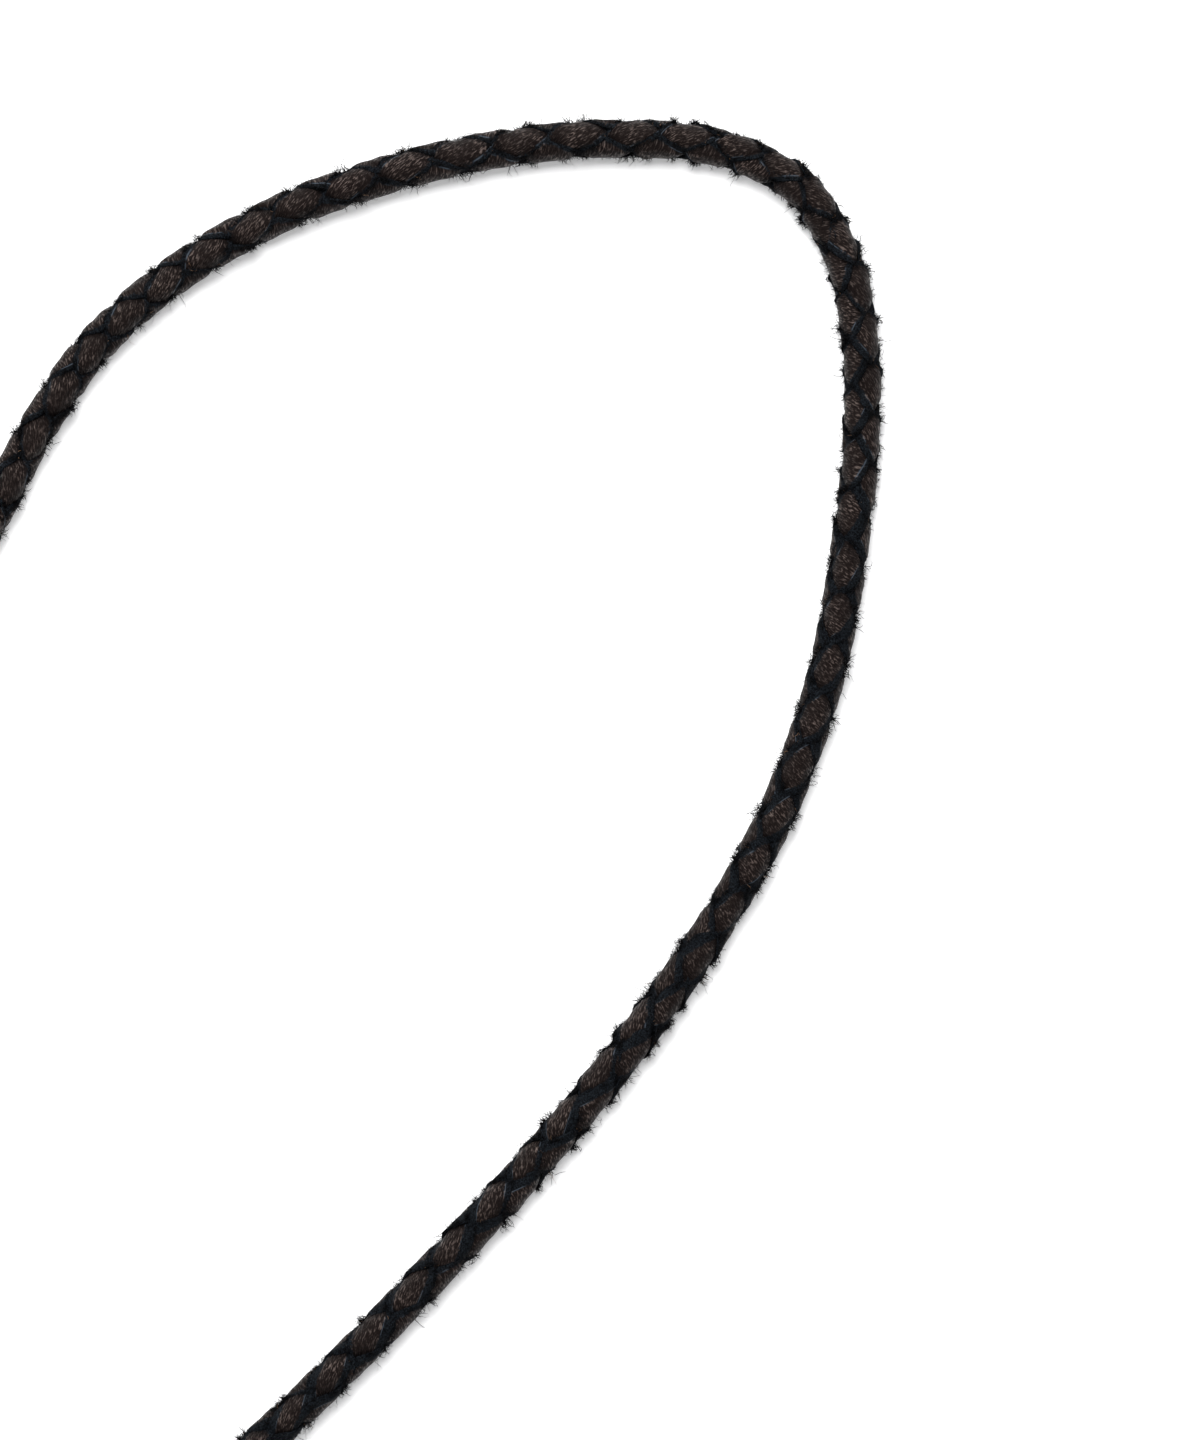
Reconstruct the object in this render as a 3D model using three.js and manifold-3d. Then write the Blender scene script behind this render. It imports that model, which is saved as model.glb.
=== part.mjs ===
// Bolo tie: one braided leather cord in a long loop, a plain oval slide that both
// runs of the cord pass through, and a plain metal tip on each end of the cord.
//
// Millimetres, +Z up. The tie lies on a flat surface at z = 0. The origin is the
// centre of the slide's flat back, +Y runs from the slide to the crown of the loop,
// which goes round the back of the neck, and the two tails run towards -Y.

import * as THREE from 'three';
import { mergeVertices } from 'three/addons/utils/BufferGeometryUtils.js';
import Module from 'manifold-3d';

const wasm = await Module();
wasm.setup();

// Driving dimensions

const cordDiameter = 4.5;
const cordSides = 10;
const cordSteps = 80;
const boreClearance = 0.3;

const slideWidth = 32;
const slideHeight = 40;
const slideSides = 56;
const plateBack = 6.7;
const runSpacing = 9;
const boreHeight = 3.55;
const blockWidth = 17.6;
const blockLength = 24;
const blockTop = 7.4;
const blockChamfer = 1.2;
const boreSides = 24;

const tipLength = 36;
const tipMouthRadius = 3.2;
const tipNoseRadius = 1.3;
const tipBoreDepth = 13.3;
const tipSides = 24;

// The middle of the cord from the left tip to the right one, as x, y and z.
// The first and last two points are the end inside its tip and the tip's mouth.

const leftTail = [
  [-18.0, -174.9, 3.0], [-17.1, -162.0, 3.25], [-14.6, -128.0, 2.25], [-9.2, -86.0, 2.25],
  [-5.3, -46.0, 2.4],
];
const throughSlideLeft = [
  [-runSpacing / 2, -22, 3.5], [-runSpacing / 2, -13, boreHeight],
  [-runSpacing / 2, 13, boreHeight], [-runSpacing / 2, 22, 3.5],
];
const leftRun = [
  [-9.2, 46.0, 2.4], [-21.6, 80.0, 2.25], [-34.9, 115.0, 2.25], [-46.6, 150.0, 2.25],
  [-54.6, 184.5, 2.25],
];
const roundTheNeck = [
  [-56.4, 208.1, 2.25], [-50.2, 229.0, 2.25], [-38.4, 247.4, 2.25], [-23.0, 263.0, 2.25],
  [-8.7, 272.0, 2.25], [2.6, 273.5, 2.25], [12.8, 268.4, 2.25], [22.6, 257.7, 2.25],
  [31.7, 242.8, 2.25], [40.0, 225.0, 2.25], [45.0, 205.0, 2.25], [46.2, 175.0, 2.25], [43.0, 140.2, 2.25],
];
const rightRun = [
  [38.4, 111.9, 2.25], [31.6, 86.0, 2.25], [20.4, 61.0, 2.25], [9.6, 40.0, 2.45],
];
const throughSlideRight = [
  [runSpacing / 2, 22, 3.5], [runSpacing / 2, 13, boreHeight],
  [runSpacing / 2, -13, boreHeight], [runSpacing / 2, -22, 3.5],
];
const rightTail = [
  [5.6, -46.0, 2.4], [10.4, -86.0, 2.25], [13.4, -126.0, 2.25], [12.6, -161.0, 3.25],
  [12.0, -173.9, 3.0],
];
const route = [
  ...leftTail, ...throughSlideLeft, ...leftRun, ...roundTheNeck,
  ...rightRun, ...throughSlideRight, ...rightTail,
].map(([x, y, z]) => new THREE.Vector3(x, y, z));

// Finishes

const leather = new THREE.MeshStandardMaterial({ color: 0x3a2d27, roughness: 0.6, metalness: 0 });
const slideMetal = new THREE.MeshStandardMaterial({ color: 0xb9b6b0, roughness: 0.35, metalness: 1 });
const tipMetal = new THREE.MeshStandardMaterial({ color: 0xb4b1ab, roughness: 0.3, metalness: 1 });

// A three.js geometry as a solid that can be joined and cut.
function toSolid(geometry) {
  const bare = geometry.clone();
  bare.deleteAttribute('normal');
  bare.deleteAttribute('uv');
  const merged = mergeVertices(bare, 1e-4);
  return new wasm.Manifold(new wasm.Mesh({
    numProp: 3,
    vertProperties: merged.attributes.position.array,
    triVerts: new Uint32Array(merged.index.array),
  }));
}

function toGeometry(solid) {
  const mesh = solid.getMesh();
  const geometry = new THREE.BufferGeometry();
  geometry.setAttribute('position', new THREE.BufferAttribute(mesh.vertProperties, 3));
  geometry.setIndex(new THREE.BufferAttribute(mesh.triVerts, 1));
  geometry.computeVertexNormals();
  return geometry;
}

function namedMesh(name, geometry, material) {
  const mesh = new THREE.Mesh(geometry, material);
  mesh.name = name;
  return mesh;
}

// The cord: a plain round tube of its full length along the route.
function makeCord() {
  const radius = cordDiameter / 2;
  const section = new THREE.Shape();
  for (let side = 0; side < cordSides; side += 1) {
    const angle = (2 * Math.PI * side) / cordSides;
    const x = radius * Math.cos(angle);
    const y = radius * Math.sin(angle);
    if (side === 0) {
      section.moveTo(x, y);
    } else {
      section.lineTo(x, y);
    }
  }
  section.closePath();
  const path = new THREE.CatmullRomCurve3(route, false, 'centripetal');
  path.arcLengthDivisions = 1200;
  return new THREE.ExtrudeGeometry(section, {
    steps: cordSteps,
    extrudePath: path,
    bevelEnabled: false,
  });
}

// The slide's front: an oval plate with a plain raised rim round a shallow dome.
// The profile is in shares of the half width, with heights in millimetres.
function makePlate() {
  const rimOuter = [[0.94, plateBack], [1.0, 7.3], [1.0, 8.2], [0.975, 8.75], [0.93, 8.9], [0.885, 8.6]];
  const domeEdge = 0.86;
  const domeFoot = 8.25;
  const domeRise = 2.55;
  const domeRings = 6;
  const profile = [new THREE.Vector2(0, plateBack)];
  for (const [share, height] of rimOuter) {
    profile.push(new THREE.Vector2(share, height));
  }
  for (let ring = 0; ring <= domeRings; ring += 1) {
    const share = 1 - ring / domeRings;
    profile.push(new THREE.Vector2(domeEdge * share, domeFoot + domeRise * (1 - share * share)));
  }
  const plate = new THREE.LatheGeometry(profile, slideSides);
  plate.rotateX(Math.PI / 2);
  plate.scale(slideWidth / 2, slideHeight / 2, 1);
  return plate;
}

// The slide's back: a block with a flat back face and chamfered long edges.
function makeBlock() {
  const half = blockWidth / 2;
  const outline = new THREE.Shape();
  outline.moveTo(-half + blockChamfer, 0);
  outline.lineTo(half - blockChamfer, 0);
  outline.lineTo(half, blockChamfer);
  outline.lineTo(half, blockTop);
  outline.lineTo(-half, blockTop);
  outline.lineTo(-half, blockChamfer);
  outline.closePath();
  const block = new THREE.ExtrudeGeometry(outline, { depth: blockLength, steps: 1, bevelEnabled: false });
  block.translate(0, 0, -blockLength / 2);
  block.rotateX(Math.PI / 2);
  return block;
}

// One of the two channels that the cord runs through.
function makeBore(x) {
  const flatToFlat = cordDiameter / 2 + boreClearance;
  const radius = flatToFlat / Math.cos(Math.PI / boreSides);
  const bore = new THREE.CylinderGeometry(radius, radius, blockLength + 4, boreSides);
  bore.translate(x, 0, boreHeight);
  return bore;
}

// The slide is one soldered piece: front plate, block and channels.
function makeSlide() {
  let slide = toSolid(makePlate()).add(toSolid(makeBlock()));
  for (const side of [-1, 1]) {
    slide = slide.subtract(toSolid(makeBore((side * runSpacing) / 2)));
  }
  return toGeometry(slide);
}

// A tip: a ferrule with a collar at its mouth, a blind bore for the cord's end and
// a long taper to a rounded nose. Its axis is +Y, with the mouth at the origin.
function makeTipGeometry() {
  const boreRadius = (cordDiameter / 2 + boreClearance) / Math.cos(Math.PI / tipSides);
  const neckRadius = tipMouthRadius - 0.25;
  const profile = [
    [0, tipBoreDepth], [boreRadius, tipBoreDepth], [boreRadius, 0],
    [tipMouthRadius - 0.25, 0], [tipMouthRadius, 0.25], [tipMouthRadius, 2.2], [neckRadius, 2.6],
    [neckRadius, 15], [tipNoseRadius + 0.75, tipLength - 9], [tipNoseRadius, tipLength - 1.4],
    [tipNoseRadius * 0.72, tipLength - 0.45], [0, tipLength],
  ].map(([radius, along]) => new THREE.Vector2(radius, along));
  return new THREE.LatheGeometry(profile, tipSides);
}

// Each tip's mouth and direction come from the two route points at that end.
function makeTip(name, cordEnd, mouth) {
  const tip = namedMesh(name, makeTipGeometry(), tipMetal.clone());
  const direction = cordEnd.clone().sub(mouth).normalize();
  tip.position.copy(mouth);
  tip.quaternion.setFromUnitVectors(new THREE.Vector3(0, 1, 0), direction);
  return tip;
}

const boloTie = new THREE.Group();
boloTie.name = 'bolo_tie';
boloTie.add(namedMesh('braided_cord', makeCord(), leather));
boloTie.add(namedMesh('slide', makeSlide(), slideMetal));
boloTie.add(makeTip('tip_left', route[0], route[1]));
boloTie.add(makeTip('tip_right', route[route.length - 1], route[route.length - 2]));

export default boloTie;
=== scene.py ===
"""Bolo tie: the look of its braided leather cord, its oval slide and its two tips.

The tie lies on a pale surface and is seen from straight above, with the camera over the
part of the loop that goes round the neck. Lengths are metres, and MM turns millimetres
into them. The origin is the centre of the slide's back, +Y runs to the crown of the loop.
"""

from __future__ import annotations

import logging
import math
from dataclasses import dataclass, field
from enum import Enum
from typing import ClassVar, Iterable, Sequence

import bpy
import numpy as np
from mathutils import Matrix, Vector

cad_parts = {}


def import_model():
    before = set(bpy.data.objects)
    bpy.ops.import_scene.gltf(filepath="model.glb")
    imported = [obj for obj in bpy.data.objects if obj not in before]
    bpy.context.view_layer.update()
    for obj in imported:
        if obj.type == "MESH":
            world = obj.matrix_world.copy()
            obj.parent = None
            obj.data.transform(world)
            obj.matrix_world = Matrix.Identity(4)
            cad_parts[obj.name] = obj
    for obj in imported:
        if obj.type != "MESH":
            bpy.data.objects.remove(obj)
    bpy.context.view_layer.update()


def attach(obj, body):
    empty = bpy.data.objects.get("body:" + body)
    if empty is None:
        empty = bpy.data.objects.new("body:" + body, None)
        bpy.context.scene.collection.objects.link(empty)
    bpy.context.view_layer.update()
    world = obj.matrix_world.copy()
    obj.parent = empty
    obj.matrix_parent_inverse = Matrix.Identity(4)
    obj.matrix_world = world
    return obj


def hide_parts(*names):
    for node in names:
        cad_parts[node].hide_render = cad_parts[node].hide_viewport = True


Array = np.ndarray
Dice = np.random.Generator
Material = bpy.types.Material
Node = bpy.types.Node
NodeTree = bpy.types.NodeTree
Piece = bpy.types.Object
Rows = tuple[tuple[float, ...], ...]
Socket = bpy.types.NodeSocket
Span = tuple[float, float]

LOG = logging.getLogger("bolo_tie")
MM = 0.001
BODY = "root"

# The middle of the cord from the left tip to the right one, as x, y and z in metres.
CORD_ROUTE: Rows = (
    (-0.0180, -0.1749, 0.00300), (-0.0171, -0.1620, 0.00325), (-0.0146, -0.1280, 0.00225),
    (-0.0092, -0.0860, 0.00225), (-0.0053, -0.0460, 0.00240), (-0.0045, -0.0220, 0.00350),
    (-0.0045, -0.0130, 0.00355), (-0.0045, 0.0130, 0.00355), (-0.0045, 0.0220, 0.00350),
    (-0.0092, 0.0460, 0.00240), (-0.0216, 0.0800, 0.00225), (-0.0349, 0.1150, 0.00225),
    (-0.0466, 0.1500, 0.00225), (-0.0546, 0.1845, 0.00225), (-0.0564, 0.2081, 0.00225),
    (-0.0502, 0.2290, 0.00225), (-0.0384, 0.2474, 0.00225), (-0.0230, 0.2630, 0.00225),
    (-0.0087, 0.2720, 0.00225), (0.0026, 0.2735, 0.00225), (0.0128, 0.2684, 0.00225),
    (0.0226, 0.2577, 0.00225), (0.0317, 0.2428, 0.00225), (0.0400, 0.2250, 0.00225),
    (0.0450, 0.2050, 0.00225), (0.0462, 0.1750, 0.00225), (0.0430, 0.1402, 0.00225),
    (0.0384, 0.1119, 0.00225), (0.0316, 0.0860, 0.00225), (0.0204, 0.0610, 0.00225),
    (0.0096, 0.0400, 0.00245), (0.0045, 0.0220, 0.00350), (0.0045, 0.0130, 0.00355),
    (0.0045, -0.0130, 0.00355), (0.0045, -0.0220, 0.00350), (0.0056, -0.0460, 0.00240),
    (0.0104, -0.0860, 0.00225), (0.0134, -0.1260, 0.00225), (0.0126, -0.1610, 0.00325),
    (0.0120, -0.1739, 0.00300),
)
CORD_DIAMETER = 4.5 * MM
LINE_STEP = 0.5 * MM
FLOOR_GAP = 0.02 * MM
LEATHER_IOR = 1.48


class LacePair(Enum):
    """The two ways that the laces run round the braid."""

    OUTWARD = "outward"
    INWARD = "inward"


class Shaping(Enum):
    """What one solid does to another, by the Boolean modifier's names."""

    JOIN = "UNION"
    CUT = "DIFFERENCE"


def to_linear(colour: str) -> tuple[float, float, float, float]:
    """Turn an sRGB hex colour such as "#3a2d27" into linear values from 0 to 1."""
    channels = []
    for start in (1, 3, 5):
        value = int(colour[start:start + 2], 16) / 255
        channels.append(value / 12.92 if value <= 0.04045 else ((value + 0.055) / 1.055) ** 2.4)
    return (channels[0], channels[1], channels[2], 1.0)


def unit(vectors: Array) -> Array:
    """Scale each row of an array to length one."""
    return vectors / np.maximum(np.linalg.norm(vectors, axis=-1, keepdims=True), 1e-12)


def bell(reach: float) -> tuple[int, Array]:
    """Make a bell curve that is felt over a reach in steps, with its half length."""
    half = int(math.ceil(reach * 3))
    return half, np.exp(-0.5 * (np.arange(-half, half + 1) / reach) ** 2)


def smooth_noise(rng: Dice, count: int, reach: float) -> Array:
    """Make smooth random values along a line, with a mean of about zero and a spread of one."""
    half, kernel = bell(reach)
    values = np.convolve(rng.normal(size=count + 2 * half), kernel, mode="valid")
    return values / math.sqrt(float(np.sum(kernel ** 2)))


def layered_noise(rng: Dice, count: int, layers: Iterable[Span]) -> Array:
    """Add up smooth random values, where each layer has an amount and a reach in steps."""
    return sum(amount * smooth_noise(rng, count, reach) for amount, reach in layers)


def smoothed(values: Array, reach: float) -> Array:
    """Blur a curve of values over a reach in steps, going on past both ends at their slope."""
    half, kernel = bell(reach)
    slope_start = values[1] - values[0]
    slope_end = values[-1] - values[-2]
    before = values[0] + slope_start * np.arange(-half, 0)
    after = values[-1] + slope_end * np.arange(1, half + 1)
    return np.convolve(np.concatenate([before, values, after]), kernel / kernel.sum(), mode="valid")


def add_node(tree: NodeTree, kind: str, links: dict | None = None, **settings: object) -> Node:
    """Add a node to a material.

    Args:
        tree: The material's node tree.
        kind: The node's type, such as "ShaderNodeTexNoise".
        links: For each input, the output socket or the constant that goes there.
        **settings: Properties of the node itself.

    Returns:
        The new node.
    """
    node = tree.nodes.new(kind)
    for name, value in settings.items():
        setattr(node, name, value)
    for name, value in (links or {}).items():
        if isinstance(value, Socket):
            tree.links.new(value, node.inputs[name])
        else:
            node.inputs[name].default_value = value
    return node


def new_material(name: str) -> tuple[Material, NodeTree]:
    """Start a material with an empty node tree, and give both."""
    material = bpy.data.materials.new(name)
    material.use_nodes = True
    material.node_tree.nodes.clear()
    return material, material.node_tree


def with_surface(material: Material, inputs: dict) -> Material:
    """Give a material its surface, by what goes into the shader, and hand it back."""
    tree = material.node_tree
    shader = add_node(tree, "ShaderNodeBsdfPrincipled", inputs)
    add_node(tree, "ShaderNodeOutputMaterial", {"Surface": shader.outputs[0]})
    return material


def add_bump(tree: NodeTree, height: Socket, strength: float, relief_mm: float) -> Socket:
    """Turn a pattern into fine relief."""
    inputs = {"Height": height, "Strength": strength, "Distance": relief_mm * MM}
    return add_node(tree, "ShaderNodeBump", inputs).outputs[0]


def add_math(tree: NodeTree, operation: str, *values: Socket | float, clamp: bool = False) -> Socket:
    """Work out a number from sockets and constants, kept between 0 and 1 if it is clamped."""
    node = add_node(tree, "ShaderNodeMath", dict(enumerate(values)), operation=operation, use_clamp=clamp)
    return node.outputs[0]


def add_range(
    tree: NodeTree, value: Socket, start: float, end: float,
    low: float = 0.0, high: float = 1.0, smooth: bool = False,
) -> Socket:
    """Map a value from start and end onto low and high and keep it there, eased if smooth."""
    ease = "SMOOTHSTEP" if smooth else "LINEAR"
    inputs = {"Value": value, "From Min": start, "From Max": end, "To Min": low, "To Max": high}
    return add_node(tree, "ShaderNodeMapRange", inputs, interpolation_type=ease).outputs[0]


def add_noise(
    tree: NodeTree, place: Socket, size: float, detail: float, roughness: float, stir: float = 0.0
) -> Socket:
    """Draw a cloudy pattern with spots of a size in the place's own unit."""
    inputs = {
        "Vector": place, "Scale": 1 / size, "Detail": detail, "Roughness": roughness, "Distortion": stir,
    }
    return add_node(tree, "ShaderNodeTexNoise", inputs).outputs["Fac"]


def add_mix(
    tree: NodeTree, share: Socket, first: Socket | Sequence[float], second: Socket | Sequence[float]
) -> Socket:
    """Mix two colours, by the share of the second one."""
    node = add_node(tree, "ShaderNodeMix", {"Factor": share, 6: first, 7: second}, data_type="RGBA")
    return node.outputs[2]


def add_ramp(tree: NodeTree, value: Socket, steps: Sequence[tuple[float, str]]) -> Socket:
    """Turn a value into a colour, by rising values that each have an sRGB hex colour."""
    node = add_node(tree, "ShaderNodeValToRGB", {"Fac": value})
    ramp = node.color_ramp
    while len(ramp.elements) > 1:
        ramp.elements.remove(ramp.elements[-1])
    ramp.elements[0].position = steps[0][0]
    ramp.elements[0].color = to_linear(steps[0][1])
    for place, colour in steps[1:]:
        ramp.elements.new(place).color = to_linear(colour)
    return node.outputs["Color"]


@dataclass(frozen=True)
class LacePatterns:
    """The lace's own attributes and the patterns drawn on it, as the sockets that give them."""

    side: Socket
    sunk: Socket
    creases: Socket
    ridge: Socket
    grain: Socket
    patches: Socket
    ragged: Socket


@dataclass(frozen=True)
class WaxedLaceLeather:
    """Waxed cowhide lace: a finely creased brown grain face with felted black cut edges.

    The wax fills the grain, so the light catches only the ridges of the fine creases, which are
    also painted paler, partly as rubbing wear and partly as painted highlight. The cut edges are
    dyed blue-black and worn to felt, with a glossier line, painted with a grey-blue highlight,
    where the blade left a corner. The face is painted darker towards where a lace dives under its
    neighbour, and black in the deepest hollows: painted shade.
    """

    grain_dark: str = "#0a0808"
    grain_mid: str = "#171211"
    # Pale brown of the crease ridges: partly rubbing wear, partly painted highlight.
    ridge_wear_and_highlight: str = "#4a403c"
    felt_dark: str = "#040405"
    felt_light: str = "#24292e"
    # Grey-blue painted highlight along the polished corner of the cut edge.
    corner_glint_colour: str = "#3b424a"
    wax_gloss: str = "#ffece4"
    valley_gloss: str = "#4c4542"
    felt_gloss: str = "#404046"
    crease_spacing_mm: float = 0.145
    crease_length_mm: float = 0.7
    crease_stir: float = 0.4
    grain_mm: float = 0.16
    patch_mm: float = 2.6
    rag_mm: float = 0.32
    relief_mm: float = 0.12
    grain_relief: float = 0.45
    grain_speckle: float = 0.4
    plain_tone: float = 0.12
    least_rubbed: float = 0.12
    # Share of the face tone left deep in the painted shade of the hollows.
    least_unshaded: float = 0.15
    felt_patchiness: float = 0.3
    edge_raggedness: float = 0.5
    # How ragged the edge of the black painted shade in the hollows is.
    hollow_shade_raggedness: float = 0.35
    felt_mattness: float = 0.9
    felt_roughness: float = 0.95
    valley_roughness: float = 0.8
    ridge_roughness: float = 0.28
    specular: float = 0.3

    # Where each pattern starts to show and where it shows in full.
    ridge_range: Span = (0.5, 0.68)
    gloss_range: Span = (0.38, 0.66)
    rubbed_range: Span = (0.4, 0.66)
    # Where the painted shade on the face starts and where it is gone.
    raised_unshaded_range: Span = (0.2, -0.02)
    edge_range: Span = (0.94, 1.02)
    corner_range: Span = (0.93, 1.0)
    polish_glint_range: Span = (0.54, 0.62)
    # Where the black painted shade in the hollows starts and where it is full.
    hollow_shade_range: Span = (0.21, 0.31)

    def _patterns(self, tree: NodeTree) -> LacePatterns:
        """Read the lace's attributes and draw its creases, grain and patches of wear."""
        read = {}
        for name in Lace.ATTRIBUTES:
            read[name] = add_node(tree, "ShaderNodeAttribute", attribute_name=name).outputs["Fac"]
        place = add_node(tree, "ShaderNodeTexCoord").outputs["Object"]
        over, along = read["over_creases_mm"], read["along_creases_mm"]
        flat = add_node(tree, "ShaderNodeCombineXYZ", {"X": over, "Y": along}).outputs[0]
        stretch = (1 / self.crease_spacing_mm, 1 / self.crease_length_mm, 1.0)
        stretched = add_node(tree, "ShaderNodeMapping", {"Vector": flat, "Scale": stretch})
        creases = add_noise(tree, stretched.outputs[0], 1.0, 2.0, 0.5, self.crease_stir)
        return LacePatterns(
            side=read["side"],
            sunk=read["sunk"],
            creases=creases,
            ridge=add_range(tree, creases, *self.ridge_range, smooth=True),
            grain=add_noise(tree, place, self.grain_mm * MM, 3.0, 0.65),
            patches=add_noise(tree, place, self.patch_mm * MM, 2.0, 0.5),
            ragged=add_noise(tree, place, self.rag_mm * MM, 3.0, 0.75),
        )

    def _brown(self, tree: NodeTree, patterns: LacePatterns) -> Socket:
        """Colour the grain face: paler on rubbed ridges, partly wear and partly painted highlight, and
        painted darker towards the sunk hollows as painted shade.
        """
        rubbed = add_range(tree, patterns.patches, *self.rubbed_range, self.least_rubbed)
        # Painted shade: the face is painted darker towards the hollows where a lace dives under its
        # neighbour.
        raised_unshaded = add_range(tree, patterns.sunk, *self.raised_unshaded_range, self.least_unshaded)
        crest = add_math(tree, "MULTIPLY", raised_unshaded, patterns.ridge)
        # The paler crease ridges are partly rubbing wear and partly painted highlight.
        pale = add_math(tree, "MULTIPLY", rubbed, crest)
        tone = add_math(tree, "MULTIPLY_ADD", raised_unshaded, self.plain_tone, pale)
        speckled = add_math(tree, "MULTIPLY_ADD", patterns.grain, self.grain_speckle, tone)
        browns = ((0.18, self.grain_dark), (0.32, self.grain_mid), (1.0, self.ridge_wear_and_highlight))
        return add_ramp(tree, speckled, browns)

    def _black_felt_and_shade(self, tree: NodeTree, patterns: LacePatterns) -> Socket:
        """Mark by 1 the black felt on the cut edges and the black painted shade in the hollows between the
        laces.
        """
        loose = add_math(tree, "SUBTRACT", patterns.ragged, 0.5)
        creeping = add_math(tree, "MULTIPLY_ADD", patterns.patches, self.felt_patchiness, patterns.side)
        spread = add_math(tree, "SUBTRACT", creeping, self.felt_patchiness / 2)
        edge_at = add_math(tree, "MULTIPLY_ADD", loose, self.edge_raggedness, spread)
        edge = add_range(tree, edge_at, *self.edge_range, smooth=True)
        # Black painted shade in the hollows, where the laces dive under each other.
        sunk_at = add_math(tree, "MULTIPLY_ADD", loose, self.hollow_shade_raggedness, patterns.sunk)
        hollow_shade = add_range(tree, sunk_at, *self.hollow_shade_range, smooth=True)
        return add_math(tree, "MAXIMUM", edge, hollow_shade)

    def _polish_and_glint(self, tree: NodeTree, patterns: LacePatterns) -> Socket:
        """Mark by 1 the stretches where the corner of the cut edge is polished to a gloss and painted with
        a grey-blue highlight.
        """
        corner = add_range(tree, patterns.side, *self.corner_range)
        half_turn = add_math(tree, "MULTIPLY", corner, math.pi)
        peak = add_math(tree, "SINE", half_turn)
        runs = add_range(tree, patterns.patches, *self.polish_glint_range, smooth=True)
        return add_math(tree, "MULTIPLY", peak, runs)

    def build(self) -> Material:
        """Make the material, which reads the laces' own attributes."""
        material, tree = new_material("waxed_lace_leather")
        patterns = self._patterns(tree)
        # black: the felted cut edges, plus the black painted shade in the hollows.
        black = self._black_felt_and_shade(tree, patterns)
        # polish: a glossier corner, also painted with a grey-blue highlight.
        polish = self._polish_and_glint(tree, patterns)
        felt = add_ramp(tree, patterns.grain, ((0.42, self.felt_dark), (0.72, self.felt_light)))
        face = add_mix(tree, black, self._brown(tree, patterns), felt)
        relief = add_math(tree, "MULTIPLY_ADD", patterns.grain, self.grain_relief, patterns.creases)
        matt = add_math(tree, "MULTIPLY", black, self.felt_mattness)
        matted = add_math(tree, "SUBTRACT", matt, polish, clamp=True)
        face_rough = add_range(
            tree, patterns.creases, *self.gloss_range, self.valley_roughness, self.ridge_roughness
        )
        rough = add_node(tree, "ShaderNodeMix", {0: matted, 2: face_rough, 3: self.felt_roughness})
        waxed = add_mix(tree, patterns.ridge, to_linear(self.valley_gloss), to_linear(self.wax_gloss))
        return with_surface(material, {
            # The polished corner gets its painted grey-blue highlight in the base colour here.
            "Base Color": add_mix(tree, polish, face, to_linear(self.corner_glint_colour)),
            "Roughness": rough.outputs[0], "Normal": add_bump(tree, relief, 1.0, self.relief_mm),
            "IOR": LEATHER_IOR, "Specular IOR Level": self.specular,
            "Specular Tint": add_mix(tree, matted, waxed, to_linear(self.felt_gloss)),
        })


@dataclass(frozen=True)
class FrayedFibre:
    """Loose leather fibre: matt collagen threads, dyed black apart from a few raw tan ones."""

    dyed: str = "#09090b"
    raw: str = "#66503f"
    roughness: float = 0.8
    specular: float = 0.1

    def build(self) -> Material:
        """Make the material, which reads the fibres' own raw attribute."""
        material, tree = new_material("frayed_leather_fibre")
        raw = add_node(tree, "ShaderNodeAttribute", attribute_name="raw").outputs["Fac"]
        return with_surface(material, {
            "Base Color": add_mix(tree, raw, to_linear(self.dyed), to_linear(self.raw)),
            "Roughness": self.roughness, "IOR": LEATHER_IOR, "Specular IOR Level": self.specular,
        })


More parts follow.
